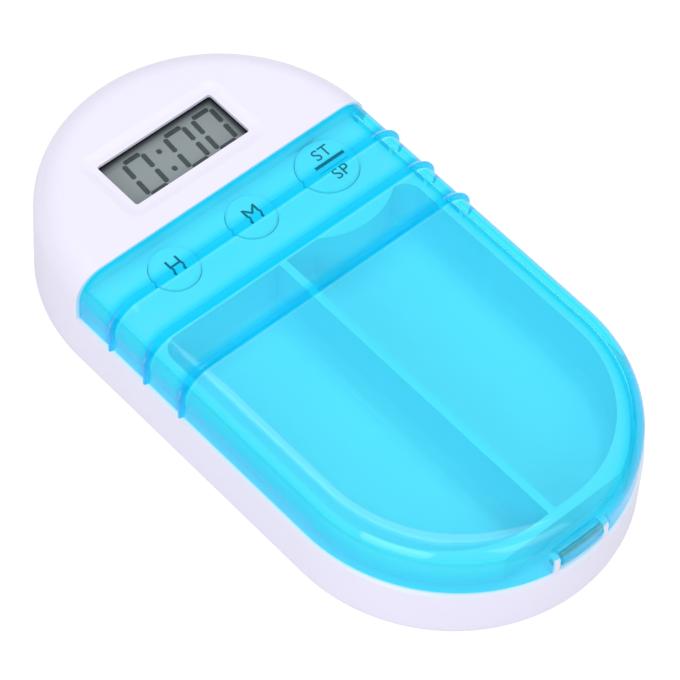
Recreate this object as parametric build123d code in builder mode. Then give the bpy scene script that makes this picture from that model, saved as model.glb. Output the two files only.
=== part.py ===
from build123d import *
import os

os.makedirs("parts", exist_ok=True)

# Pill box with a countdown alarm. Millimetres. The origin is the middle of the underside,
# +Y points to the head with the display, +X is the display's reading direction, +Z is up.

# Body
body_length = 94.4
body_width = 50.0
head_length = 24.8
rim_drop = 4.0
lid_headroom = 2.1
top_edge_radius = 4.0
bottom_edge_radius = 1.5
rim_edge_chamfer = 0.35
head_wall = 2.6
head_roof = 1.6
roof_corner_chamfer = 0.6

# Lid
lid_inset = 0.35
lid_wall = 1.4
lid_gap = 0.5
lid_seat_gap = 0.3
seam_gap = 0.25
rib_setback = 7.35
rib_pitch = 6.9
rib_count = 3
rib_height = 0.6
rib_width = 1.9
rib_crest = 0.25
rib_lip = 0.3
rib_root = 0.4
bead_setback = 4.4
bead_height = 10.6
bead_length = 3.0
bead_radius = 0.3
bead_rise = 0.25

# Tray and deck
deck_thickness = 1.4
deck_length = 12.6
tray_wall = 1.2
tail_wall = 6.0
tray_tail_radius = 18.5
tray_head_radius = 2.6
floor_height = 4.4
floor_thickness = 1.4
foot_radius = 2.2
divider_x = -0.5
divider_thickness = 1.2
bulge_setback = 3.4
bulge_side = 12.6
bulge_wall = 1.5
bulge_gap = 0.2

# Lid hinge at the tail
pin_radius = 0.5
pin_clearance = 0.05
pin_recess = 0.1
hinge_setback = 1.7
hinge_rise = 1.8
knuckle_radius = 1.3
knuckle_half_width = 3.5
ear_radius = 0.95
ear_width = 0.9
hinge_gap = 0.25
edge_lift = 0.55
relief_length = 4.6

# Display
display_x = -0.8
display_setback = 9.0
window_length = 19.6
window_width = 8.2
window_corner = 0.4
window_lip = 0.5
lip_width_under = 2.2
dish_margin = 0.9
dish_slope = 1.1
dish_depth = 0.2
dish_corner = 1.6
lcd_length = 24.0
lcd_width = 12.8
lcd_thickness = 2.0
lcd_roof_gap = 0.5
lcd_fit = 0.1
frame_wall = 0.8
frame_opening = 5.6
zebra_length = 21.0
zebra_width = 1.8
zebra_inset = 1.4

# Buttons
button_row_x = 1.2
button_setback = 4.5
button_pitch = 13.3
small_button_diameter = 7.0
large_button_diameter = 8.7
button_rise = 0.6
button_edge_chamfer = 0.25
button_clearance = 0.08
flange_width = 0.8
flange_thickness = 0.8
flange_gap = 0.05
dome_radius = 2.8
dome_top_radius = 2.0
dome_wall = 0.5
dome_gap = 0.05

# Bottom cover
cover_thickness = 1.5
cover_inset = 1.9
cover_gap = 0.15
cover_rib_width = 1.0
cover_rib_gap = 0.15
cover_rib_x = 10.0
cover_rib_reach = 15.0
cover_rib_margin = 12.0
cover_rib_count = 3

# Circuit board
board_thickness = 1.0
board_gap = 0.4
button_space = 2.2

# Screws
screw_radius = 1.0
screw_head_radius = 1.9
screw_head_height = 0.9
screw_length = 5.5
screw_sink = 0.1
screw_fit = 0.02
screw_recess_length = 2.2
screw_gap = 0.5
screw_offset = 2.4
tail_screw_setback = 4.6
boss_radius = 2.2
boss_sink = 0.2
board_screw_radius = 0.8
board_screw_head_radius = 1.6
board_screw_head_height = 0.8
board_screw_length = 4.4
board_screw_recess_length = 1.8
board_screw_setback = 3.8
board_boss_radius = 1.8
post_gap = 0.3
head_chamfer = 0.3
recess_width = 0.5
recess_depth = 0.45

# Button cell, its well and its door
cell_x = -9.0
cell_setback = 3.6
cell_radius = 5.8
cell_thickness = 5.4
cell_step_radius = 5.0
cell_step_height = 0.4
cell_gap = 0.3
cell_board_gap = 0.75
well_wall = 1.0
well_board_gap = 1.2
door_radius = 7.4
door_thickness = 1.2
door_sink = 0.15
door_gap = 0.2
door_ledge = 0.8
door_chamfer = 0.3
door_plug_gap = 0.35
door_plug_height = 0.9
door_notch_radius = 1.6
door_notch_depth = 0.8
contact_thickness = 0.3
contact_width = 3.6
contact_bend = 0.4
contact_foot = 2.0
contact_touch = 0.8
contact_run = 1.4

# Buzzer
disc_radius = 9.0
disc_thickness = 0.3
ceramic_radius = 6.0
ceramic_thickness = 0.25
seat_height = 1.0
seat_width = 1.2
lip_gap = 0.1
lip_width = 0.6
sound_hole_radius = 0.6
sound_ring_radius = 3.6
sound_hole_count = 6
buzzer_contact_width = 1.6
buzzer_contact_offset = 4.2
buzzer_contact_touch = 1.2
buzzer_contact_run = 2.2
buzzer_contact_tip = 0.6

# Parts under the board
chip_x = 3.0
chip_offset = 2.6
chip_radius = 3.8
chip_height = 1.1
chip_chamfer = 0.7
crystal_x = 5.5
crystal_offset = 8.2
crystal_radius = 1.0
crystal_length = 6.0
crystal_lead = 1.0
lead_thickness = 0.3
lead_pitch = 0.8
coil_x = 11.2
coil_offset = 0.2
coil_radius = 2.2
coil_height = 3.4
coil_flange = 0.6
coil_winding_depth = 0.4

# Levels, stacked from the battery door up to the top of the lid
door_top = door_sink + door_thickness
cell_bottom = door_top + door_plug_height
cell_top = cell_bottom + cell_thickness
board_underside = cell_top + cell_board_gap
board_top = board_underside + board_thickness
deck_underside = board_top + button_space
deck_height = deck_underside + deck_thickness
head_height = deck_height + lid_headroom + lid_wall
rim_height = deck_height - rim_drop
lid_bottom = rim_height + lid_seat_gap
roof_underside = head_height - head_roof
tray_underside = floor_height - floor_thickness
ledge_top = door_top + door_ledge
well_height = board_underside - well_board_gap
disc_bottom = cover_thickness + seat_height
disc_top = disc_bottom + disc_thickness
ceramic_top = disc_top + ceramic_thickness
lcd_top = roof_underside - lcd_roof_gap
lcd_bottom = lcd_top - lcd_thickness
button_top = deck_height + button_rise
flange_top = deck_underside - flange_gap
flange_bottom = flange_top - flange_thickness
dome_height = flange_bottom - dome_gap - board_top
hinge_height = rim_height + hinge_rise
slot_top = hinge_height + ear_radius + hinge_gap

# Places along the body, from its two ends
head_end = body_length / 2
tail_end = -body_length / 2
seam_y = head_end - head_length
display_y = seam_y + display_setback
button_row_y = seam_y - button_setback
bulge_y = seam_y - bulge_setback
cell_y = seam_y + cell_setback
rib_first_y = seam_y - rib_setback
bead_y = seam_y - bead_setback
roof_front_y = seam_y + head_roof
deck_front_y = seam_y - deck_length
bay_front_y = deck_front_y + tray_wall
tray_tail_y = tail_end + tail_wall
relief_y = tail_end + relief_length
hinge_y = tail_end + hinge_setback

# Places across the body and sizes that follow from the ones above
tray_inset = lid_inset + lid_wall + lid_gap
pocket_inset = tray_inset + tray_wall
ear_inner_x = knuckle_half_width + hinge_gap
ear_outer_x = ear_inner_x + ear_width
holder_length = lcd_length + 2 * lcd_fit
holder_width = lcd_width + 2 * lcd_fit
zebra_offset = lcd_width / 2 - zebra_inset
well_radius = cell_radius + cell_gap
lip_radius = disc_radius + lip_gap
bulge_x = body_width / 2 - bulge_side
bulge_radius = lip_radius + lip_width + bulge_gap + bulge_wall
rim_touch = (disc_radius + ceramic_radius) / 2
cover_rib_start = tray_tail_y + cover_rib_margin
cover_rib_step = (deck_front_y - tray_tail_y - 2 * cover_rib_margin) / (cover_rib_count - 1)
cover_rib_y = [cover_rib_start + number * cover_rib_step for number in range(cover_rib_count)]

# Screws stand beside the display's holder, at the front of the board and in the tail wall
screw_x = abs(display_x) + holder_length / 2 + frame_wall + screw_gap + boss_radius
screw_places = [
    (-screw_x, display_y + screw_offset),
    (screw_x, display_y + screw_offset),
    (-body_width / 2 + head_wall + boss_radius - boss_sink, bay_front_y + boss_radius - boss_sink),
    (0.0, tail_end + tail_screw_setback),
]
board_screw_places = [
    (-screw_x, seam_y + board_screw_setback),
    (screw_x, seam_y + board_screw_setback),
    (0.0, display_y + holder_width / 2 + frame_wall + post_gap + board_boss_radius),
]

buttons = {
    "hour": (button_row_x - button_pitch, small_button_diameter / 2),
    "minute": (button_row_x, small_button_diameter / 2),
    "start_stop": (button_row_x + button_pitch, large_button_diameter / 2),
}

standing = (Align.CENTER, Align.CENTER, Align.MIN)


def outline(inset, mode=Mode.ADD):
    """Body outline in plan, the given distance inside the side wall."""
    SlotOverall(body_length - 2 * inset, body_width - 2 * inset, rotation=90, mode=mode)


def keep_head_side(front_y):
    """Keep only the part of the open sketch that lies on the head's side of front_y."""
    with Locations((0, front_y)):
        Rectangle(body_width, body_length, align=(Align.CENTER, Align.MIN), mode=Mode.INTERSECT)


def at(places, height):
    """Placements at one height over the given plan positions."""
    return Locations(*[(x, y, height) for x, y in places])


def upright(x, y):
    """Vertical plane through a plan position, with local x along X and local y along Z."""
    return Plane((x, y, 0), x_dir=(1, 0, 0), z_dir=(0, -1, 0))


def sideways(x):
    """Vertical plane across X, with local x along Y and local y along Z."""
    return Plane((x, 0, 0), x_dir=(0, 1, 0), z_dir=(1, 0, 0))


def flared_half(half_width):
    """Half section of a wall standing in the tray, with a rounded foot."""
    with BuildLine() as section:
        Polyline(
            (half_width, floor_height + foot_radius),
            (half_width, head_height),
            (0, head_height),
            (0, floor_height),
            (half_width + foot_radius, floor_height),
        )
        CenterArc((half_width + foot_radius, floor_height + foot_radius), foot_radius, 180, 90)
    make_face(section.edges())


def strip(plane, points, bend, width):
    """Thin sprung strip bent along the given points and centred on its plane."""
    with BuildSketch(plane) as side_view:
        with BuildLine():
            FilletPolyline(*points, radius=bend)
        trace(line_width=contact_thickness)
    extrude(side_view.sketch, amount=width / 2, both=True)


def cross_recess(places, height, size):
    """Cross recess in the downward faces of the screw heads at one height."""
    with at(places, height):
        Box(size, recess_width, 2 * recess_depth, mode=Mode.SUBTRACT)
        Box(recess_width, size, 2 * recess_depth, mode=Mode.SUBTRACT)


def export(part, name):
    """Label one finished piece and write it to its own file."""
    part.label = name
    export_step(part, f"parts/{name}.step")


# Space inside the tray: a basin with rounded foot, less the divider and the bulge of the buzzer chamber
with BuildPart() as pockets:
    with BuildSketch(Plane.XY.offset(floor_height)) as basin:
        with Locations((0, deck_front_y)):
            Rectangle(
                body_width - 2 * pocket_inset,
                deck_front_y - tray_tail_y,
                align=(Align.CENTER, Align.MAX),
            )
        fillet(basin.vertices().group_by(Axis.Y)[0], tray_tail_radius)
        fillet(basin.vertices().group_by(Axis.Y)[-1], tray_head_radius)
    extrude(amount=head_height - floor_height)
    fillet(pockets.edges().group_by(Axis.Z)[0], foot_radius)
    with BuildSketch(upright(divider_x, body_length / 2)):
        flared_half(divider_thickness / 2)
        mirror(about=Plane.YZ)
    extrude(amount=body_length, mode=Mode.SUBTRACT)
    with BuildSketch(upright(bulge_x, bulge_y)):
        flared_half(bulge_radius)
    revolve(axis=Axis((bulge_x, bulge_y, 0), (0, 0, 1)), mode=Mode.SUBTRACT)

# Space for the electronics, open below: shallow under the tray, higher under the deck, highest in the head
with BuildPart() as bay:
    with BuildSketch():
        outline(head_wall)
        keep_head_side(roof_front_y)
    extrude(amount=roof_underside)
    roof_edges = bay.edges().group_by(Axis.Z)[-1]
    chamfer(roof_edges.filter_by(GeomType.CIRCLE), roof_corner_chamfer)
    with BuildSketch():
        outline(pocket_inset)
        keep_head_side(bay_front_y)
        with Locations((bulge_x, bulge_y)):
            Circle(bulge_radius - bulge_wall)
        outline(pocket_inset, mode=Mode.INTERSECT)
    extrude(amount=deck_underside)
    with BuildSketch():
        outline(head_wall)
    extrude(amount=tray_underside)

# Head block, full outline with the rounded top edge, cut off square at the seam
with BuildPart() as head_block:
    with BuildSketch(Plane.XY.offset(bottom_edge_radius)):
        outline(0)
    extrude(amount=head_height - bottom_edge_radius)
    fillet(head_block.edges().group_by(Axis.Z)[-1], top_edge_radius)
    with Locations((0, seam_y, 0)):
        Box(
            body_width,
            body_length,
            head_height,
            align=(Align.CENTER, Align.MAX, Align.MIN),
            mode=Mode.SUBTRACT,
        )

# Shallow dish with sloping sides round the display window
with BuildPart() as dish:
    for spread, level in ((dish_margin, -dish_depth), (dish_margin + 2 * dish_slope, dish_depth)):
        with BuildSketch(Plane.XY.offset(head_height + level)):
            with Locations((display_x, display_y)):
                RectangleRounded(window_length + 2 * spread, window_width + 2 * spread, dish_corner)
    loft()

# Housing
with BuildPart() as housing:
    with BuildSketch():
        outline(0)
    extrude(amount=rim_height)
    fillet(housing.edges().group_by(Axis.Z)[0], bottom_edge_radius)
    chamfer(housing.edges().group_by(Axis.Z)[-1], rim_edge_chamfer)
    with BuildSketch(Plane.XY.offset(floor_height)):
        outline(tray_inset)
        keep_head_side(relief_y)
    extrude(amount=deck_height - floor_height)
    add(head_block.part)
    add(pockets.part, mode=Mode.SUBTRACT)
    add(bay.part, mode=Mode.SUBTRACT)
    add(dish.part, mode=Mode.SUBTRACT)
    # bosses for the cover screws, clipped to the inside of the wall
    for x, y in screw_places:
        boss_top = tray_underside if y < bay_front_y else deck_underside
        boss_top = roof_underside if y > roof_front_y else boss_top
        with BuildSketch(Plane.XY.offset(cover_thickness)):
            with Locations((x, y)):
                Circle(boss_radius)
            outline(head_wall / 2, mode=Mode.INTERSECT)
        extrude(amount=boss_top - cover_thickness)
    # posts that hold the circuit board
    with at(board_screw_places, board_top):
        Cylinder(board_boss_radius, roof_underside - board_top, align=standing)
    with at(screw_places, cover_thickness):
        Cylinder(screw_radius + screw_fit, screw_length - 1, align=standing, mode=Mode.SUBTRACT)
    with at(board_screw_places, board_top):
        Cylinder(board_screw_radius + screw_fit, board_screw_length - 1, align=standing, mode=Mode.SUBTRACT)
    # seat for the bottom cover
    with BuildSketch():
        outline(cover_inset)
    extrude(amount=cover_thickness, mode=Mode.SUBTRACT)
    # the roof is thin round the display window, so the glass lies in a shadow gap
    with BuildSketch(Plane.XY.offset(roof_underside)):
        with Locations((display_x, display_y)):
            Rectangle(window_length + 2 * lip_width_under, window_width + 2 * lip_width_under)
    extrude(amount=head_roof - dish_depth - window_lip, mode=Mode.SUBTRACT)
    # display window and button holes
    with BuildSketch(Plane.XY.offset(deck_underside)):
        with Locations((display_x, display_y)):
            RectangleRounded(window_length, window_width, window_corner)
        for x, radius in buttons.values():
            with Locations((x, button_row_y)):
                Circle(radius + button_clearance)
    extrude(amount=head_height, mode=Mode.SUBTRACT)
    # hinge ears on the rim
    for side in (-1, 1):
        with BuildSketch(sideways(side * (ear_inner_x + ear_width / 2))):
            with Locations((hinge_y, hinge_height)):
                Circle(ear_radius)
                Rectangle(2 * ear_radius, hinge_rise + rim_edge_chamfer, align=(Align.CENTER, Align.MAX))
        extrude(amount=ear_width / 2, both=True)
    with Locations((0, hinge_y, hinge_height)):
        Cylinder(pin_radius, 2 * ear_outer_x, rotation=(0, 90, 0), mode=Mode.SUBTRACT)

export(housing.part, "housing")

# Hinge pin, held in the ears and running in the lid's knuckle
with BuildPart() as hinge_pin:
    with Locations((0, hinge_y, hinge_height)):
        Cylinder(pin_radius, 2 * (ear_outer_x - pin_recess), rotation=(0, 90, 0))

export(hinge_pin.part, "hinge_pin")

# Space under the lid
with BuildPart() as lid_space:
    with BuildSketch(Plane.XY.offset(rim_height)):
        outline(lid_inset + lid_wall)
    extrude(amount=head_height - lid_wall - rim_height)
    fillet(lid_space.edges().group_by(Axis.Z)[-1], top_edge_radius - lid_wall)

# Lid: one clear moulding with grip ribs swept over its top and down both sides
with BuildPart() as lid:
    with BuildSketch(Plane.XY.offset(lid_bottom)):
        outline(lid_inset)
    extrude(amount=head_height - lid_bottom)
    fillet(lid.edges().group_by(Axis.Z)[-1], top_edge_radius)
    rib_side = body_width / 2 - lid_inset
    for number in range(rib_count):
        rib_y = rib_first_y - number * rib_pitch
        with BuildLine(upright(0, rib_y)):
            FilletPolyline(
                (-rib_side, lid_bottom),
                (-rib_side, head_height),
                (rib_side, head_height),
                (rib_side, lid_bottom),
                radius=top_edge_radius,
            )
        with BuildSketch(Plane.XY.offset(lid_bottom)):
            with BuildLine():
                Polyline(
                    (rib_root - rib_side, rib_y),
                    (-rib_height - rib_side, rib_y + rib_lip),
                    (-rib_height - rib_side, rib_y + rib_lip + rib_crest),
                    (rib_root - rib_side, rib_y + rib_width),
                    close=True,
                )
            make_face()
        sweep()
    add(lid_space.part, mode=Mode.SUBTRACT)
    with Locations((0, seam_y - seam_gap, 0)):
        Box(
            body_width,
            body_length,
            2 * head_height,
            align=(Align.CENTER, Align.MIN, Align.CENTER),
            mode=Mode.SUBTRACT,
        )
    # slots for the ears, a raised edge between them, then the knuckle in the thickness of the skirt
    slot_centre = (ear_inner_x + ear_outer_x) / 2
    slot_width = ear_width + 2 * hinge_gap
    for x, width, top in (
        (-slot_centre, slot_width, slot_top),
        (slot_centre, slot_width, slot_top),
        (0, 2 * slot_centre, lid_bottom + edge_lift),
    ):
        with Locations((x, relief_y, top)):
            Box(
                width,
                body_width,
                head_height,
                align=(Align.CENTER, Align.MAX, Align.MAX),
                mode=Mode.SUBTRACT,
            )
    with Locations((0, hinge_y, hinge_height)):
        Cylinder(knuckle_radius, 2 * knuckle_half_width, rotation=(0, 90, 0))
        Cylinder(
            pin_radius + pin_clearance,
            2 * knuckle_half_width,
            rotation=(0, 90, 0),
            mode=Mode.SUBTRACT,
        )
    # small beads that grip the tray wall near the seam
    bead_x = body_width / 2 - lid_inset - lid_wall + bead_radius - bead_rise
    with at([(-bead_x, bead_y), (bead_x, bead_y)], bead_height):
        Cylinder(bead_radius, bead_length, rotation=(90, 0, 0))

export(lid.part, "lid")

# Bottom cover with the cell well, the buzzer seat, stiffening ribs and sound holes
with BuildPart() as bottom_cover:
    with BuildSketch():
        outline(cover_inset + cover_gap)
    extrude(amount=cover_thickness)
    with BuildSketch():
        with Locations((cell_x, cell_y)):
            Circle(door_radius + door_gap + door_ledge)
    extrude(amount=ledge_top)
    with BuildSketch():
        with Locations((cell_x, cell_y)):
            Circle(well_radius + well_wall)
    extrude(amount=well_height)
    with at([(cell_x, cell_y)], 0):
        Cylinder(door_radius + door_gap, door_top, align=standing, mode=Mode.SUBTRACT)
        Cylinder(well_radius, head_height, align=standing, mode=Mode.SUBTRACT)
    with at([(cell_x, cell_y - door_radius - door_gap)], 0):
        Cylinder(door_notch_radius, door_notch_depth, align=standing, mode=Mode.SUBTRACT)
    with at([(cell_x + well_radius, cell_y)], ledge_top):
        Box(3 * well_wall, contact_width + 2 * cell_gap, well_height, align=standing, mode=Mode.SUBTRACT)
    # ring under the buzzer disc, with a lip round it
    with BuildSketch(Plane.XY.offset(cover_thickness)):
        with Locations((bulge_x, bulge_y)):
            Circle(lip_radius + lip_width)
            Circle(disc_radius - seat_width, mode=Mode.SUBTRACT)
    extrude(amount=seat_height + disc_thickness)
    with at([(bulge_x, bulge_y)], disc_bottom):
        Cylinder(lip_radius, disc_thickness, align=standing, mode=Mode.SUBTRACT)
    with Locations((bulge_x, bulge_y)):
        with PolarLocations(sound_ring_radius, sound_hole_count):
            Cylinder(sound_hole_radius, 2 * cover_thickness + seat_height, mode=Mode.SUBTRACT)
        Cylinder(sound_hole_radius, 2 * cover_thickness + seat_height, mode=Mode.SUBTRACT)
    # ribs under the tray
    with BuildSketch(Plane.XY.offset(cover_thickness)):
        for x in (-cover_rib_x, cover_rib_x):
            with Locations((x, (cover_rib_y[0] + cover_rib_y[-1]) / 2)):
                Rectangle(cover_rib_width, cover_rib_y[-1] - cover_rib_y[0] + cover_rib_width)
        for y in cover_rib_y:
            with Locations((0, y)):
                Rectangle(2 * cover_rib_reach, cover_rib_width)
    extrude(amount=tray_underside - cover_rib_gap - cover_thickness)
    for x, y in screw_places:
        with Locations(Location((x, y, 0), (180, 0, 0))):
            CounterSinkHole(screw_radius + screw_fit, screw_head_radius + screw_sink)

export(bottom_cover.part, "bottom_cover")

# Four countersunk screws that hold the bottom cover
with BuildPart() as cover_screws:
    with at(screw_places, screw_sink):
        Cone(screw_head_radius, screw_radius, screw_head_height, align=standing)
        Cylinder(screw_radius, screw_length, align=standing)
    cross_recess(screw_places, screw_sink, screw_recess_length)

export(cover_screws.part, "cover_screws")

# Round door under the cell
with BuildPart() as battery_door:
    with at([(cell_x, cell_y)], door_sink):
        Cylinder(door_radius, door_thickness, align=standing)
    chamfer(battery_door.edges().group_by(Axis.Z)[0], door_chamfer)
    with at([(cell_x, cell_y)], door_top):
        Cylinder(well_radius - door_plug_gap, door_plug_height, align=standing)

export(battery_door.part, "battery_door")

# Button cell
with BuildPart() as button_cell:
    with at([(cell_x, cell_y)], cell_bottom):
        Cylinder(cell_radius, cell_thickness - cell_step_height, align=standing)
    chamfer(button_cell.edges().filter_by(GeomType.CIRCLE), cell_step_height)
    with at([(cell_x, cell_y)], cell_bottom):
        Cylinder(cell_step_radius, cell_thickness, align=standing)

export(button_cell.part, "button_cell")

# Contact beside the cell, up to the board
side_x = cell_x + cell_radius + contact_thickness / 2
under_board = board_underside - contact_thickness / 2
with BuildPart() as positive_contact:
    strip(
        upright(0, cell_y),
        [(side_x, ledge_top + cell_gap), (side_x, under_board), (side_x + contact_foot, under_board)],
        contact_bend,
        contact_width,
    )

export(positive_contact.part, "positive_contact")

# Contact over the cell, sprung between its cap and the board
over_cell = cell_top + contact_thickness / 2
with BuildPart() as negative_contact:
    strip(
        upright(0, cell_y),
        [
            (cell_x - contact_touch - contact_run - contact_foot, under_board),
            (cell_x - contact_touch - contact_run, under_board),
            (cell_x - contact_touch, over_cell),
            (cell_x + contact_touch, over_cell),
            (cell_x + contact_touch + contact_run, (over_cell + under_board) / 2),
        ],
        contact_bend,
        contact_width,
    )

export(negative_contact.part, "negative_contact")

# Circuit board, notched round the cover bosses
with BuildPart() as circuit_board:
    with BuildSketch(Plane.XY.offset(board_underside)):
        outline(pocket_inset + board_gap)
        keep_head_side(bay_front_y + board_gap)
        with Locations(*screw_places[:3]):
            Circle(boss_radius + board_gap, mode=Mode.SUBTRACT)
        with Locations(*board_screw_places):
            Circle(board_screw_radius + screw_fit, mode=Mode.SUBTRACT)
    extrude(amount=board_thickness)

export(circuit_board.part, "circuit_board")

# Three pan-head screws that hold the board to its posts
board_screw_bottom = board_underside - board_screw_head_height
with BuildPart() as board_screws:
    with at(board_screw_places, board_screw_bottom):
        Cylinder(board_screw_head_radius, board_screw_head_height, align=standing)
    chamfer(board_screws.edges().group_by(Axis.Z)[0], head_chamfer)
    with at(board_screw_places, board_underside):
        Cylinder(board_screw_radius, board_screw_length - board_screw_head_height, align=standing)
    cross_recess(board_screw_places, board_screw_bottom, board_screw_recess_length)

export(board_screws.part, "board_screws")

# Encapsulated chip under the board
with BuildPart() as chip_blob:
    with at([(chip_x, display_y + chip_offset)], board_underside - chip_height):
        Cylinder(chip_radius, chip_height, align=standing)
    chamfer(chip_blob.edges().group_by(Axis.Z)[0], chip_chamfer)

export(chip_blob.part, "chip_blob")

# Crystal lying under the board with its two leads
crystal_y = display_y + crystal_offset
crystal_z = board_underside - crystal_radius
with BuildPart() as crystal:
    with Locations((crystal_x, crystal_y, crystal_z)):
        Cylinder(crystal_radius, crystal_length, rotation=(0, 90, 0))
    chamfer(crystal.edges().filter_by(GeomType.CIRCLE), lead_thickness)
    lead_x = crystal_x + crystal_length / 2
    for y in (crystal_y - lead_pitch / 2, crystal_y + lead_pitch / 2):
        with BuildSketch(upright(0, y)):
            with BuildLine():
                Polyline(
                    (lead_x - lead_thickness, crystal_z),
                    (lead_x + crystal_lead, crystal_z),
                    (lead_x + crystal_lead, board_underside),
                )
            trace(line_width=lead_thickness)
        extrude(amount=lead_thickness / 2, both=True)

export(crystal.part, "crystal")

# Wound coil under the board
coil_y = display_y + coil_offset
with BuildPart() as boost_coil:
    with at([(coil_x, coil_y)], board_underside - coil_height):
        Cylinder(coil_radius - coil_winding_depth, coil_height, align=standing)
        Cylinder(coil_radius, coil_flange, align=standing)
    with at([(coil_x, coil_y)], board_underside - coil_flange):
        Cylinder(coil_radius, coil_flange, align=standing)

export(boost_coil.part, "boost_coil")

# Display glass
with BuildPart() as lcd_panel:
    with at([(display_x, display_y)], lcd_bottom):
        Box(lcd_length, lcd_width, lcd_thickness, align=standing)

export(lcd_panel.part, "lcd_panel")

# Holder that stands on the board and carries the display glass
with BuildPart() as lcd_frame:
    with at([(display_x, display_y)], board_top):
        Box(
            holder_length + 2 * frame_wall,
            holder_width + 2 * frame_wall,
            lcd_top - lcd_fit - board_top,
            align=standing,
        )
        Box(lcd_length - 2 * zebra_inset, frame_opening, head_height, align=standing, mode=Mode.SUBTRACT)
    with at([(display_x, display_y)], lcd_bottom):
        Box(holder_length, holder_width, head_height, align=standing, mode=Mode.SUBTRACT)
    with at([(display_x, display_y - zebra_offset), (display_x, display_y + zebra_offset)], board_top):
        Box(
            zebra_length + 2 * lcd_fit,
            zebra_width + 2 * lcd_fit,
            head_height,
            align=standing,
            mode=Mode.SUBTRACT,
        )

export(lcd_frame.part, "lcd_frame")

# Two connector strips between the board and the glass
with BuildPart() as zebra_strips:
    with at([(display_x, display_y - zebra_offset), (display_x, display_y + zebra_offset)], board_top):
        Box(zebra_length, zebra_width, lcd_bottom - board_top, align=standing)

export(zebra_strips.part, "zebra_strips")

# Button caps with flanges under the deck, each over its own return dome
for name, (x, radius) in buttons.items():
    with BuildPart() as cap:
        with at([(x, button_row_y)], flange_bottom):
            Cylinder(radius, button_top - flange_bottom, align=standing)
        chamfer(cap.edges().group_by(Axis.Z)[-1], button_edge_chamfer)
        with at([(x, button_row_y)], flange_bottom):
            Cylinder(radius + flange_width, flange_thickness, align=standing)
    export(cap.part, f"{name}_button")

    with BuildPart() as dome:
        with at([(x, button_row_y)], board_top):
            Cone(dome_radius, dome_top_radius, dome_height, align=standing)
            Cone(
                dome_radius - dome_wall,
                dome_top_radius - dome_wall,
                dome_height - dome_wall,
                align=standing,
                mode=Mode.SUBTRACT,
            )
    export(dome.part, f"{name}_dome")

# Buzzer disc and the ceramic bonded to it
with BuildPart() as buzzer_disc:
    with at([(bulge_x, bulge_y)], disc_bottom):
        Cylinder(disc_radius, disc_thickness, align=standing)

export(buzzer_disc.part, "buzzer_disc")

with BuildPart() as buzzer_ceramic:
    with at([(bulge_x, bulge_y)], disc_top):
        Cylinder(ceramic_radius, ceramic_thickness, align=standing)

export(buzzer_ceramic.part, "buzzer_ceramic")

# Sprung strips from the board to the ceramic and to the rim of the disc
rim_touch_y = bulge_y + (rim_touch**2 - buzzer_contact_offset**2) ** 0.5
half_touch = buzzer_contact_touch / 2
with BuildPart() as buzzer_contacts:
    for x, y, touch in (
        (bulge_x, bulge_y, ceramic_top),
        (bulge_x - buzzer_contact_offset, rim_touch_y, disc_top),
    ):
        foot = touch + contact_thickness / 2
        strip(
            sideways(x),
            [
                (y + half_touch + buzzer_contact_run + contact_foot, under_board),
                (y + half_touch + buzzer_contact_run, under_board),
                (y + half_touch, foot),
                (y - half_touch, foot),
                (y - half_touch - buzzer_contact_tip, foot + buzzer_contact_tip),
            ],
            contact_thickness,
            buzzer_contact_width,
        )

export(buzzer_contacts.part, "buzzer_contacts")
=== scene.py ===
import math

import bpy
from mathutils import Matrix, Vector


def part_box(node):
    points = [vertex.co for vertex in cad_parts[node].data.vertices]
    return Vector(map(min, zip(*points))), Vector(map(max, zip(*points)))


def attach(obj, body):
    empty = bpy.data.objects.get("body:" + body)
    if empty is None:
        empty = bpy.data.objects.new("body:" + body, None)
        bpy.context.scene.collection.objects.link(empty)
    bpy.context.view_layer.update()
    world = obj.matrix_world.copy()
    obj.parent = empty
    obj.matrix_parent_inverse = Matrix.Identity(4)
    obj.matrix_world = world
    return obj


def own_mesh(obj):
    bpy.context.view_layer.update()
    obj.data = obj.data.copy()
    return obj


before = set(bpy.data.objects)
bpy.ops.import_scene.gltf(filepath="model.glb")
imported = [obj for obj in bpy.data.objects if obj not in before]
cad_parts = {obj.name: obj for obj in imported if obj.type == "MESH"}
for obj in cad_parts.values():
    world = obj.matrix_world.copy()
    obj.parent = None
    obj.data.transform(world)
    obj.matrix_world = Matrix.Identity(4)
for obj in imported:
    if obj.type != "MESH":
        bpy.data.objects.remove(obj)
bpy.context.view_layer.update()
bpy.ops.object.select_all(action="DESELECT")

# Camera: a long lens held over the left tail corner of the box, turned a little about its own axis,
# so that the display reads up to the right.
camera_data = bpy.data.cameras.new("camera")
camera_data.lens = 220.686
camera_data.sensor_width = 36.0
camera_data.clip_start = 0.01
camera = bpy.data.objects.new("camera", camera_data)
camera.location = (-0.230157, -0.227420, 0.444702)
camera.rotation_euler = (0.633966, -0.046073, -0.731555)
bpy.context.scene.collection.objects.link(camera)
bpy.context.scene.camera = camera

# Studio: a white tent all round, a soft panel overhead that stands in the lid's rounded edges as a pale
# band, and two panels in front, one beyond the tail and one on the left. The bare tent looks plain white,
# and dim between the panels where polished plastic mirrors it.
white = (1.0, 1.0, 1.0, 1.0)
tent_light = 0.66
tent_mirrored = 0.25
tent_seen = 1.0


def feed(tree, value, socket):
    """Give a socket a number or the output of another node."""
    if isinstance(value, float):
        socket.default_value = value
    else:
        tree.links.new(value, socket)


def blend(tree, share, plain, other):
    """Two shaders mixed; where the share is one, only the other shows."""
    mix = tree.nodes.new("ShaderNodeMixShader")
    for value, socket in zip((share, plain, other), mix.inputs):
        feed(tree, value, socket)
    return mix.outputs[0]


def shine_white(source, strength):
    """Set a source of light to plain white of one strength."""
    source.inputs["Color"].default_value = white
    source.inputs["Strength"].default_value = strength
    return source.outputs[0]


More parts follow.
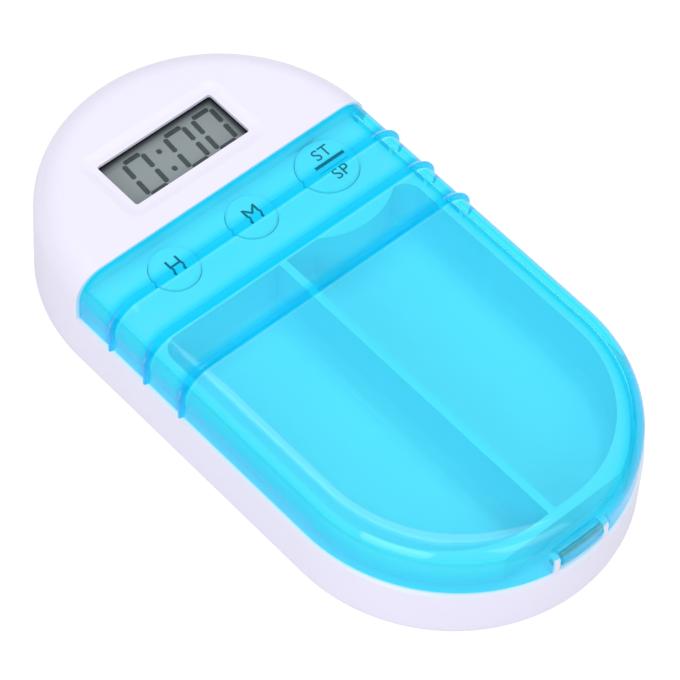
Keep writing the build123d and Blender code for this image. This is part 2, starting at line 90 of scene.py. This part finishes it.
tent = bpy.data.worlds.new("tent")
bpy.context.scene.world = tent
tent.use_nodes = True
tree = tent.node_tree
path = tree.nodes.new("ShaderNodeLightPath")
plain = shine_white(tree.nodes["Background"], tent_light)
mirrored = shine_white(tree.nodes.new("ShaderNodeBackground"), tent_mirrored)
seen = shine_white(tree.nodes.new("ShaderNodeBackground"), tent_seen)
unseen = blend(tree, path.outputs["Is Glossy Ray"], plain, mirrored)
shown = blend(tree, path.outputs["Is Camera Ray"], unseen, seen)
tree.links.new(shown, tree.nodes["World Output"].inputs["Surface"])

for name, place, width, height, brightness in (
    ("overhead_panel", (0.090, 0.115, 0.600), 0.30, 0.36, 2.7),
    ("tail_panel", (0.060, -0.500, 0.500), 0.40, 0.24, 1.7),
    ("left_panel", (-0.545, -0.225, 0.395), 0.40, 0.30, 2.7),
):
    panel_data = bpy.data.lights.new(name, "AREA")
    panel_data.shape = "RECTANGLE"
    panel_data.size = width
    panel_data.size_y = height
    panel_data.energy = math.pi * width * height * brightness
    panel = bpy.data.objects.new(name, panel_data)
    panel.location = place
    if name != "overhead_panel":
        panel.rotation_euler = Vector(place).to_track_quat("Z", "Y").to_euler()
    bpy.context.scene.collection.objects.link(panel)

# Floor: a sheet of white card that runs far past the picture. It is bright where it is seen, bare or through
# the lid, duller in the light that it throws up at the box, and can be seen through from below.
floor_size = 4.0
floor_shift_x = 0.4
floor_z = -0.0003
card_glow = 1.05
seen_share = 0.96
bounce_share = 0.35


def start_finish(name, colour, roughness, metallic=0.0):
    """A new material with its main colour, roughness and metal share set on the shader itself."""
    material = bpy.data.materials.new(name)
    material.use_nodes = True
    shader = material.node_tree.nodes["Principled BSDF"]
    shader.inputs["Base Color"].default_value = (*colour, 1.0)
    shader.inputs["Roughness"].default_value = roughness
    shader.inputs["Metallic"].default_value = metallic
    return material, shader


def reckon(tree, operation, *values):
    """Shader values and numbers worked into one."""
    step = tree.nodes.new("ShaderNodeMath")
    step.operation = operation
    for value, socket in zip(values, step.inputs):
        feed(tree, value, socket)
    return step.outputs[0]


bpy.ops.mesh.primitive_plane_add(size=floor_size, location=(floor_shift_x, 0, floor_z))
floor = bpy.context.object
floor.name = "floor_card"
bpy.ops.object.transform_apply(location=True, rotation=True, scale=True)
card, shader = start_finish("white_card", (0.86, 0.86, 0.88), 0.85)
tree = card.node_tree
path = tree.nodes.new("ShaderNodeLightPath")
seen = reckon(tree, "MAXIMUM", path.outputs["Is Camera Ray"], path.outputs["Is Transmission Ray"])
seen = reckon(tree, "MULTIPLY", seen, seen_share)
thrown_up = reckon(tree, "MULTIPLY", path.outputs["Is Diffuse Ray"], bounce_share)
bright = reckon(tree, "MAXIMUM", seen, thrown_up)
glow = shine_white(tree.nodes.new("ShaderNodeEmission"), card_glow)
face = blend(tree, bright, shader.outputs[0], glow)
side_seen = tree.nodes.new("ShaderNodeNewGeometry")
nothing = tree.nodes.new("ShaderNodeBsdfTransparent")
sheet = blend(tree, side_seen.outputs["Backfacing"], face, nothing.outputs[0])
tree.links.new(sheet, tree.nodes["Material Output"].inputs["Surface"])
floor.data.materials.append(card)

# Housing: one white injection moulding with the display head, the deck, the split tray and the rim.
# The plastic is a cool white with a satin skin, as it comes out of a finely blasted mould.


def cloud(material, scale, detail=2.0, stretch=(1.0, 1.0, 1.0)):
    """Soft noise in the object's own space; scale is the number of blotches in a metre."""
    tree = material.node_tree
    place = tree.nodes.new("ShaderNodeTexCoord")
    spread = tree.nodes.new("ShaderNodeMapping")
    spread.inputs["Scale"].default_value = stretch
    noise = tree.nodes.new("ShaderNodeTexNoise")
    noise.inputs["Scale"].default_value = scale
    noise.inputs["Detail"].default_value = detail
    tree.links.new(place.outputs["Object"], spread.inputs["Vector"])
    tree.links.new(spread.outputs["Vector"], noise.inputs["Vector"])
    return noise.outputs["Fac"]


def emboss(material, shader, height, depth, strength):
    """Raise the surface a little where the pattern is high; depth is in metres."""
    bump = material.node_tree.nodes.new("ShaderNodeBump")
    bump.inputs["Distance"].default_value = depth
    bump.inputs["Strength"].default_value = strength
    material.node_tree.links.new(height, bump.inputs["Height"])
    material.node_tree.links.new(bump.outputs["Normal"], shader.inputs["Normal"])


def grade(tree, value, *tones):
    """Colours that follow a value; each tone is the value where it stands and its colour."""
    ramp = tree.nodes.new("ShaderNodeValToRGB")
    stops = ramp.color_ramp.elements
    for position, colour in tones[1:-1]:
        stops.new(position)
    for stop, (position, colour) in zip(stops, tones):
        stop.position = position
        stop.color = (*colour, 1.0)
    tree.links.new(value, ramp.inputs["Fac"])
    return ramp.outputs["Color"]


def tint_between(material, shader, pattern, low_colour, high_colour, low=0.35, high=0.65):
    """Let the colour drift between two tones as the pattern goes from low to high."""
    tree = material.node_tree
    tree.links.new(grade(tree, pattern, (low, low_colour), (high, high_colour)), shader.inputs["Base Color"])


def polish_between(material, shader, pattern, low_roughness, high_roughness):
    """Let the gloss drift between two values over the surface."""
    span = material.node_tree.nodes.new("ShaderNodeMapRange")
    span.inputs["To Min"].default_value = low_roughness
    span.inputs["To Max"].default_value = high_roughness
    material.node_tree.links.new(pattern, span.inputs["Value"])
    material.node_tree.links.new(span.outputs["Result"], shader.inputs["Roughness"])


def dress(material, *names):
    """Give carried-over pieces their finish."""
    for name in names:
        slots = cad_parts[name].data.materials
        slots.clear()
        slots.append(material)


white_plastic, shader = start_finish("white_plastic", (0.865, 0.84, 0.99), 0.34)
tint_between(white_plastic, shader, cloud(white_plastic, 45.0), (0.857, 0.832, 0.985), (0.873, 0.848, 0.995))
polish_between(white_plastic, shader, cloud(white_plastic, 120.0), 0.30, 0.40)
emboss(white_plastic, shader, cloud(white_plastic, 4200.0), depth=0.00002, strength=0.25)
dress(white_plastic, "housing")

# Hour, minute and start-stop buttons: caps of the same white plastic, held under the deck by their flanges.
# Their tops carry dark violet pad printing in plain letters: H, M, and ST over SP with a bar between.
dress(white_plastic, "hour_button", "minute_button", "start_stop_button")
ink, shader = start_finish("pad_print_ink", (0.050, 0.020, 0.060), 0.45)
tint_between(ink, shader, cloud(ink, 5000.0), (0.040, 0.016, 0.050), (0.060, 0.026, 0.075))
emboss(ink, shader, cloud(ink, 9000.0), depth=0.00001, strength=0.3)
ink_thickness = 0.00003
small_letter = 0.0034
large_letter = 0.0026
letter_spacing = 1.05
line_step = 0.0020
small_shift = Vector((0.0003, 0.0001, 0))
large_shift = Vector((0.0007, -0.0001, 0))
bar_size = (0.0050, 0.00066)
bar_lift = 0.00035


def cap_place(button):
    """Middle of a button's top face, where its print sits."""
    low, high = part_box(button)
    return Vector(((low[0] + high[0]) / 2, (low[1] + high[1]) / 2, high[2] + ink_thickness / 2))


def print_letters(name, words, size, place, body):
    """Flat letters of ink lying on a cap and moving with it."""
    bpy.ops.object.text_add(location=place)
    letters = bpy.context.object
    letters.data.body = words
    letters.data.size = size
    letters.data.align_x = "CENTER"
    letters.data.align_y = "CENTER"
    letters.data.extrude = ink_thickness / 2
    letters.data.space_character = letter_spacing
    bpy.ops.object.convert(target="MESH")
    letters = bpy.context.object
    letters.name = name
    bpy.ops.object.transform_apply(location=True, rotation=True, scale=True)
    letters.data.materials.clear()
    letters.data.materials.append(ink)
    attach(letters, body)
    bpy.ops.object.select_all(action="DESELECT")


print_letters("hour_print", "H", small_letter, cap_place("hour_button") + small_shift, "hour_button")
print_letters("minute_print", "M", small_letter, cap_place("minute_button") + small_shift, "minute_button")
large_cap = cap_place("start_stop_button") + large_shift
print_letters("start_print", "ST", large_letter, large_cap + Vector((0, line_step, 0)), "start_stop_button")
print_letters("stop_print", "SP", large_letter, large_cap - Vector((0, line_step, 0)), "start_stop_button")

bpy.ops.mesh.primitive_cube_add(size=1.0, location=large_cap + Vector((0, bar_lift, 0)))
print_bar = bpy.context.object
print_bar.name = "start_stop_bar"
print_bar.scale = (*bar_size, ink_thickness)
bpy.ops.object.transform_apply(location=True, rotation=True, scale=True)
soften = print_bar.modifiers.new("rounded_ends", "BEVEL")
soften.width = ink_thickness / 3
soften.segments = 2
bpy.ops.object.modifier_apply(modifier=soften.name)
print_bar.data.materials.append(ink)
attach(print_bar, "start_stop_button")
bpy.ops.object.select_all(action="DESELECT")

# Return domes: three small cones of pale silicone rubber that push the caps up.
# The rubber is slightly see-through, with a dusty skin; in use each dome sinks as its cap is pressed, and
# here each gets a mesh of its own.
silicone, shader = start_finish("silicone_rubber", (0.70, 0.70, 0.69), 0.55)
shader.inputs["Subsurface Weight"].default_value = 0.2
shader.inputs["Subsurface Scale"].default_value = 0.001
tint_between(silicone, shader, cloud(silicone, 300.0), (0.66, 0.66, 0.65), (0.73, 0.73, 0.72))
emboss(silicone, shader, cloud(silicone, 6000.0), depth=0.00002, strength=0.4)
dress(silicone, "hour_dome", "minute_dome", "start_stop_dome")
for key in ("hour", "minute", "start_stop"):
    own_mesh(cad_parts[key + "_dome"])

# Display: a reflective liquid-crystal glass with a grey-green ground and a dark border, partly its sealed
# edge and partly painted shade from the window's rim.
# Three digits and a colon stand on it in dark segments and read 0:00.
window_middle = Vector((-0.0008, 0.0314, 0.0))
window_half = Vector((0.0098, 0.0041, 0.0))
seal_and_shade_start = -0.0002
seal_and_shade_end = 0.0007
ground_colour = (0.29, 0.34, 0.35)
seal_and_shade_colour = (0.02, 0.02, 0.03)
glass_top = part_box("lcd_panel")[1][2]

lcd_ground, shader = start_finish("lcd_ground", ground_colour, 0.22)
shader.inputs["Coat Weight"].default_value = 0.4
shader.inputs["Coat Roughness"].default_value = 0.08
tree = lcd_ground.node_tree
place = tree.nodes.new("ShaderNodeTexCoord")
centred = tree.nodes.new("ShaderNodeVectorMath")
centred.operation = "SUBTRACT"
centred.inputs[1].default_value = window_middle
folded = tree.nodes.new("ShaderNodeVectorMath")
folded.operation = "ABSOLUTE"
sides = tree.nodes.new("ShaderNodeSeparateXYZ")
tree.links.new(place.outputs["Object"], centred.inputs[0])
tree.links.new(centred.outputs["Vector"], folded.inputs[0])
tree.links.new(folded.outputs["Vector"], sides.inputs["Vector"])
# The dark border is partly the glass's sealed edge and partly painted shade where the window's rim shadows
# the glass; it starts 0.2 mm inside the opening.
seal_and_shade_fades = []
for axis, half in (("X", window_half.x), ("Y", window_half.y)):
    fade = tree.nodes.new("ShaderNodeMapRange")
    fade.inputs["From Min"].default_value = half + seal_and_shade_start
    fade.inputs["From Max"].default_value = half + seal_and_shade_end
    tree.links.new(sides.outputs[axis], fade.inputs["Value"])
    seal_and_shade_fades.append(fade.outputs["Result"])
seal_and_shade = reckon(tree, "MAXIMUM", *seal_and_shade_fades)
tint_between(lcd_ground, shader, seal_and_shade, ground_colour, seal_and_shade_colour, low=0.0, high=1.0)
emboss(lcd_ground, shader, cloud(lcd_ground, 7000.0), depth=0.00001, strength=0.1)
dress(lcd_ground, "lcd_panel")

lcd_dark, shader = start_finish("lcd_dark", (0.055, 0.075, 0.085), 0.3)
tint_between(lcd_dark, shader, cloud(lcd_dark, 2500.0), (0.048, 0.066, 0.075), (0.065, 0.086, 0.096))
bar_width = 0.00072
bar_thickness = 0.00003
stem_x = 0.00160
half_height = 0.00312
digit_lean = math.radians(4.0)
joint_gap = 0.00020
row_middle_y = 0.03168
digit_middles_x = (-0.00535, 0.00175, 0.00660)
colon_x = -0.00166
colon_y = 0.00173
colon_length = bar_width * 1.3


def lcd_bar(length, middle, turn):
    """One display segment: a six-sided bar with pointed ends, stretched from a short prism."""
    corner = bar_width / 2 / math.cos(math.radians(30))
    bpy.ops.mesh.primitive_cylinder_add(vertices=6, radius=corner, depth=bar_thickness)
    bar = bpy.context.object
    reach = length / 2 - corner
    for side in (1, -1):
        bpy.ops.object.mode_set(mode="EDIT")
        bpy.ops.mesh.select_all(action="DESELECT")
        bpy.ops.object.mode_set(mode="OBJECT")
        for point in bar.data.vertices:
            point.select = point.co.y * side > 0
        bpy.ops.object.mode_set(mode="EDIT")
        bpy.ops.mesh.select_mode(type="VERT")
        bpy.ops.transform.translate(value=(0, side * reach, 0))
        bpy.ops.object.mode_set(mode="OBJECT")
    bar.rotation_euler = (0, 0, turn)
    bar.location = middle
    bpy.ops.object.transform_apply(location=True, rotation=True, scale=True)
    return bar


segments = []
bar_z = glass_top + bar_thickness / 2
for middle_x in digit_middles_x:
    for side_x in (-stem_x, stem_x):
        for side_y in (-half_height / 2, half_height / 2):
            lean_x = middle_x + side_x + side_y * math.tan(digit_lean)
            middle = (lean_x, row_middle_y + side_y, bar_z)
            segments.append(lcd_bar(half_height - 2 * joint_gap, middle, -digit_lean))
    for side_y in (-half_height, half_height):
        lean_x = middle_x + side_y * math.tan(digit_lean)
        middle = (lean_x, row_middle_y + side_y, bar_z)
        segments.append(lcd_bar(2 * (stem_x - joint_gap), middle, math.pi / 2))
for side_y in (-colon_y, colon_y):
    lean_x = colon_x + side_y * math.tan(digit_lean)
    segments.append(lcd_bar(colon_length, (lean_x, row_middle_y + side_y, bar_z), 0.0))
bpy.ops.object.select_all(action="DESELECT")
for segment in segments:
    segment.select_set(True)
bpy.context.view_layer.objects.active = segments[0]
bpy.ops.object.join()
lcd_digits = bpy.context.object
lcd_digits.name = "lcd_digits"
lcd_digits.data.materials.append(lcd_dark)
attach(lcd_digits, "case")
bpy.ops.object.select_all(action="DESELECT")

# Display holder: a black moulded frame that stands on the board and keeps stray light off the glass.
# Its walls are matt, with a fine spark-eroded grain.
black_plastic, shader = start_finish("black_plastic", (0.020, 0.020, 0.022), 0.6)
tint_between(black_plastic, shader, cloud(black_plastic, 400.0), (0.016, 0.016, 0.018), (0.028, 0.028, 0.03))
emboss(black_plastic, shader, cloud(black_plastic, 3500.0), depth=0.00003, strength=0.5)
dress(black_plastic, "lcd_frame")

# Connector strips: soft rubber with hundreds of fine carbon layers that join the board to the glass.
# The layers show as narrow dark lines across each strip.


def lay(material, kind, sizes):
    """A regular pattern laid in the object's own space, with the sizes that its sockets name."""
    tree = material.node_tree
    place = tree.nodes.new("ShaderNodeTexCoord")
    pattern = tree.nodes.new(kind)
    for socket, size in sizes.items():
        pattern.inputs[socket].default_value = size
    tree.links.new(place.outputs["Object"], pattern.inputs["Vector"])
    return pattern


layered_rubber, shader = start_finish("layered_rubber", (0.30, 0.20, 0.20), 0.7)
wave = lay(layered_rubber, "ShaderNodeTexWave", {"Scale": 1500.0, "Distortion": 0.0})
wave.bands_direction = "X"
layers = wave.outputs["Fac"]
tint_between(layered_rubber, shader, layers, (0.03, 0.03, 0.03), (0.42, 0.27, 0.26))
emboss(layered_rubber, shader, layers, depth=0.00002, strength=0.3)
dress(layered_rubber, "zebra_strips")

# Circuit board: glass-fibre laminate under green solder mask, with right-angled copper tracks under it.
# The mask dips between the tracks, so they stand a little proud.
solder_mask, shader = start_finish("solder_mask", (0.015, 0.16, 0.05), 0.3)
bricks = lay(solder_mask, "ShaderNodeTexBrick", {
    "Scale": 220.0, "Brick Width": 1.3, "Row Height": 0.35, "Mortar Size": 0.06, "Mortar Smooth": 0.2})
tracks = bricks.outputs["Fac"]
tint_between(solder_mask, shader, tracks, (0.012, 0.13, 0.045), (0.05, 0.30, 0.10), low=0.1, high=0.9)
emboss(solder_mask, shader, tracks, depth=0.00004, strength=0.6)
dress(solder_mask, "circuit_board")

# Chip: a bare die under a drop of black resin, cast straight on the board.
# The resin is glossy and a little uneven from the way it flowed.
resin, shader = start_finish("black_resin", (0.012, 0.012, 0.013), 0.22)
tint_between(resin, shader, cloud(resin, 700.0), (0.010, 0.010, 0.011), (0.022, 0.021, 0.020))
emboss(resin, shader, cloud(resin, 500.0), depth=0.0002, strength=0.5)
dress(resin, "chip_blob")

# Crystal: a drawn nickel-silver can with two wire leads.
# Drawing leaves fine lines along the can.
drawn_can, shader = start_finish("drawn_can", (0.68, 0.67, 0.65), 0.3, metallic=1.0)
sheen_lines = cloud(drawn_can, 3000.0, detail=2.0, stretch=(0.1, 1.0, 1.0))
drawing_lines = cloud(drawn_can, 5000.0, detail=2.0, stretch=(0.05, 1.0, 1.0))
polish_between(drawn_can, shader, sheen_lines, 0.22, 0.42)
emboss(drawn_can, shader, drawing_lines, depth=0.00002, strength=0.3)
dress(drawn_can, "crystal")

# Coil: lacquered copper wire wound on a small bobbin; it lifts the cell's voltage for the buzzer.
# The turns lie side by side round the bobbin.
winding, shader = start_finish("copper_winding", (0.45, 0.14, 0.05), 0.35, metallic=0.8)
wave = lay(winding, "ShaderNodeTexWave", {"Scale": 1900.0, "Distortion": 0.3})
wave.bands_direction = "Z"
turns = wave.outputs["Fac"]
tint_between(winding, shader, turns, (0.20, 0.05, 0.02), (0.60, 0.22, 0.08), low=0.2, high=0.8)
emboss(winding, shader, turns, depth=0.00006, strength=0.8)
dress(winding, "boost_coil")

# Sprung strips: bronze strip, nickel plated, punched and bent. Two touch the cell and a pair the buzzer.
# Rolling leaves faint lines and the plating has small pale blotches.
plated_strip, shader = start_finish("plated_strip", (0.72, 0.66, 0.50), 0.3, metallic=1.0)
rolled = cloud(plated_strip, 2500.0, detail=3.0, stretch=(1.0, 0.15, 1.0))
tint_between(plated_strip, shader, rolled, (0.66, 0.60, 0.45), (0.78, 0.73, 0.60))
polish_between(plated_strip, shader, cloud(plated_strip, 900.0), 0.24, 0.42)
dress(plated_strip, "positive_contact", "negative_contact", "buzzer_contacts")

# Button cell: a pressed steel can, nickel plated, closed by a crimp round its cap.
# Handling has left faint scratches on the bright plating.
nickel_can, shader = start_finish("nickel_can", (0.74, 0.74, 0.75), 0.18, metallic=1.0)
worn_lines = cloud(nickel_can, 1500.0, detail=4.0, stretch=(1.0, 0.08, 1.0))
scratches = cloud(nickel_can, 2600.0, detail=4.0, stretch=(1.0, 0.06, 1.0))
polish_between(nickel_can, shader, worn_lines, 0.12, 0.34)
emboss(nickel_can, shader, scratches, depth=0.00001, strength=0.3)
dress(nickel_can, "button_cell")

# Buzzer: a thin brass disc with a silvered ceramic plate bonded to its middle.
# The brass is rolled sheet, and the silver coat is matt and a little patchy.
rolled_brass, shader = start_finish("rolled_brass", (0.76, 0.57, 0.24), 0.3, metallic=1.0)
tarnish = cloud(rolled_brass, 250.0, detail=3.0)
rolling_lines = cloud(rolled_brass, 2500.0, detail=3.0, stretch=(1.0, 0.1, 1.0))
tint_between(rolled_brass, shader, tarnish, (0.70, 0.50, 0.20), (0.80, 0.62, 0.28))
polish_between(rolled_brass, shader, rolling_lines, 0.22, 0.42)
dress(rolled_brass, "buzzer_disc")
silvered, shader = start_finish("silvered_ceramic", (0.80, 0.79, 0.76), 0.5, metallic=0.5)
patches = cloud(silvered, 900.0, detail=3.0)
tint_between(silvered, shader, patches, (0.74, 0.73, 0.70), (0.84, 0.83, 0.80))
emboss(silvered, shader, cloud(silvered, 5000.0), depth=0.00002, strength=0.4)
dress(silvered, "buzzer_ceramic")

# Bottom cover and battery door: thinner mouldings of the same white plastic, let into the underside.
# The cover holds the cell's well and the buzzer's seat, and the door snaps in under the cell.
dress(white_plastic, "bottom_cover", "battery_door")

# Screws and hinge pin: zinc-plated steel, the screws pressed and rolled, the pin cut from bright wire.
# The plating is even, with a slight grain.
plated_steel, shader = start_finish("plated_steel", (0.62, 0.62, 0.64), 0.28, metallic=1.0)
tint_between(plated_steel, shader, cloud(plated_steel, 1200.0), (0.57, 0.57, 0.59), (0.66, 0.66, 0.68))
polish_between(plated_steel, shader, cloud(plated_steel, 3500.0), 0.22, 0.40)
dress(plated_steel, "cover_screws", "board_screws", "hinge_pin")

# Lid: one clear moulding of blue-dyed plastic, polished all over, with grip ribs and the hinge knuckle.
# The dye takes out red, and more of the rest where light crosses more plastic: in slanted walls and under
# the ribs. Painted shade deepens it further in the rounded edge and the walls below it, beside each rib
# crest, at the far rib ends and along the cut end at the seam, and each rib has a thin painted highlight
# line on its tail side. A little haze keeps its shade blue.
rib_crest_y = (0.01535, 0.00845, 0.00155)
# Each step is its start, its end and the depth that it adds, and a rib's are measured from its crest.
# The first two paint a thin highlight line on the tail side; the last two make a band, partly the rib's own
# plastic and partly painted shade, that rises to the crest and fades towards the head.
rib_glint_and_shade_steps = (
    (-0.00070, -0.00060, -0.20),
    (-0.00045, -0.00035, 0.20),
    (-0.00035, 0.0, 0.55),
    (0.0, 0.0024, -0.55),
)
seam_y = 0.02215
# A thin line of painted shade deepens the dye over the last 0.6 mm before the cut end at the seam.
seam_shade_length = 0.0006
seam_shade_depth = 0.22
# Painted shade deepens the dye from the rounded top edge down, most between 16.3 mm and 15 mm and only a
# little below 14 mm.
edge_shade_steps = ((0.01705, 0.0163, 0.12), (0.0150, 0.0140, -0.10))
side_top_z = 0.0164
side_foot_z = 0.0130
plain_depth = 0.20
# Past the far side the rib depth is doubled, as painted shade at the rib ends, and the cap on depth is
# lifted there.
far_side = 0.0200
far_fade_length = 0.0030
top_limit = 0.72
cut_face = 0.00002
wall_lean = 0.5
# The palest tone is reached only in the painted highlight lines beside the ribs.
dye_tones = (
    (0.0, (0.75, 1.0, 1.0)),
    (0.20, (0.49, 1.0, 1.0)),
    (0.45, (0.06, 0.87, 1.0)),
    (0.70, (0.003, 0.66, 1.0)),
    (1.0, (0.001, 0.36, 0.93)),
)
shade_tones = ((0.0, (0.66, 0.99, 1.0)), (0.8, (0.15, 0.96, 1.0)))
haze_colour = (0.0, 0.72, 1.0, 1.0)
haze_share = 0.08
clear_blue, shader = start_finish("clear_blue", dye_tones[1][1], 0.02)
shader.inputs["IOR"].default_value = 1.08
shader.inputs["Transmission Weight"].default_value = 1.0
shader.inputs["Coat Weight"].default_value = 0.8
shader.inputs["Coat Roughness"].default_value = 0.02
shader.inputs["Coat IOR"].default_value = 1.48
tree = clear_blue.node_tree
place = tree.nodes.new("ShaderNodeTexCoord")
sides = tree.nodes.new("ShaderNodeSeparateXYZ")
tree.links.new(place.outputs["Object"], sides.inputs["Vector"])


def grow(axis, start, end, amount):
    """A value that grows smoothly from nothing at one place on an axis to the full amount at another."""
    rise = tree.nodes.new("ShaderNodeMapRange")
    rise.interpolation_type = "SMOOTHSTEP"
    rise.inputs["From Min"].default_value = start
    rise.inputs["From Max"].default_value = end
    rise.inputs["To Max"].default_value = amount
    tree.links.new(sides.outputs[axis], rise.inputs["Value"])
    return rise.outputs["Result"]


def add_up(*values):
    """Shader values and numbers added one after another."""
    total = values[0]
    for value in values[1:]:
        total = reckon(tree, "ADD", total, value)
    return total


# Per rib, a thin painted highlight line on the tail side of the crest and a band of depth, partly the rib's
# own plastic and partly painted shade, that fades towards the head.
rib_glint_and_shade_slopes = [
    grow("Y", crest_y + start, crest_y + end, amount)
    for crest_y in rib_crest_y
    for start, end, amount in rib_glint_and_shade_steps
]
# Painted shade at the far rib ends.
far_side_shade = grow("X", far_side, far_side + far_fade_length, 1.0)
ribs = add_up(*rib_glint_and_shade_slopes)
ribs = add_up(ribs, reckon(tree, "MULTIPLY", ribs, far_side_shade))
# Painted shade along the seam.
seam_shade = grow("Y", seam_y - seam_shade_length, seam_y, seam_shade_depth)
# Painted shade in the rounded edge and the walls below it.
edge_shade = [grow("Z", start, end, amount) for start, end, amount in edge_shade_steps]
extra = add_up(ribs, seam_shade, *edge_shade)

# The extra depth, painted shade and painted highlight with some real rib thickness, works only where light
# enters, and its depth is limited, except low down and on the far side.
side_seen = tree.nodes.new("ShaderNodeNewGeometry")
leaving = side_seen.outputs["Backfacing"]
extra = reckon(tree, "MULTIPLY", extra, reckon(tree, "SUBTRACT", 1.0, leaving))
slant = tree.nodes.new("ShaderNodeLayerWeight")
slant.inputs["Blend"].default_value = 0.5
facing = slant.outputs["Facing"]
depth = add_up(reckon(tree, "MAXIMUM", facing, plain_depth), extra)
limit = add_up(grow("Z", side_top_z, side_foot_z, 1.0), top_limit, far_side_shade)
depth = reckon(tree, "MINIMUM", depth, limit)
tree.links.new(grade(tree, depth, *dye_tones), shader.inputs["Base Color"])

# Shadow and bounced light pass straight through and are only tinted, and so does any light at the cut
# end and on its way out of an upright wall.
path = tree.nodes.new("ShaderNodeLightPath")
lean = tree.nodes.new("ShaderNodeSeparateXYZ")
tree.links.new(place.outputs["Normal"], lean.inputs["Vector"])
at_cut = reckon(tree, "GREATER_THAN", sides.outputs["Y"], seam_y - cut_face)
upright_wall = reckon(tree, "COMPARE", lean.outputs["Z"], 0.0, wall_lean)
leaving_wall = reckon(tree, "MULTIPLY", leaving, upright_wall)
straight_through = path.outputs["Is Shadow Ray"]
for case in (path.outputs["Is Diffuse Ray"], at_cut, leaving_wall):
    straight_through = reckon(tree, "MAXIMUM", straight_through, case)
shade_tint = tree.nodes.new("ShaderNodeBsdfTransparent")
tree.links.new(grade(tree, facing, *shade_tones), shade_tint.inputs["Color"])
haze = tree.nodes.new("ShaderNodeBsdfDiffuse")
haze.inputs["Color"].default_value = haze_colour
dyed = blend(tree, haze_share, shader.outputs[0], haze.outputs[0])
clear = blend(tree, straight_through, dyed, shade_tint.outputs[0])
tree.links.new(clear, tree.nodes["Material Output"].inputs["Surface"])
dress(clear_blue, "lid")

bpy.context.scene.view_settings.view_transform = "Standard"
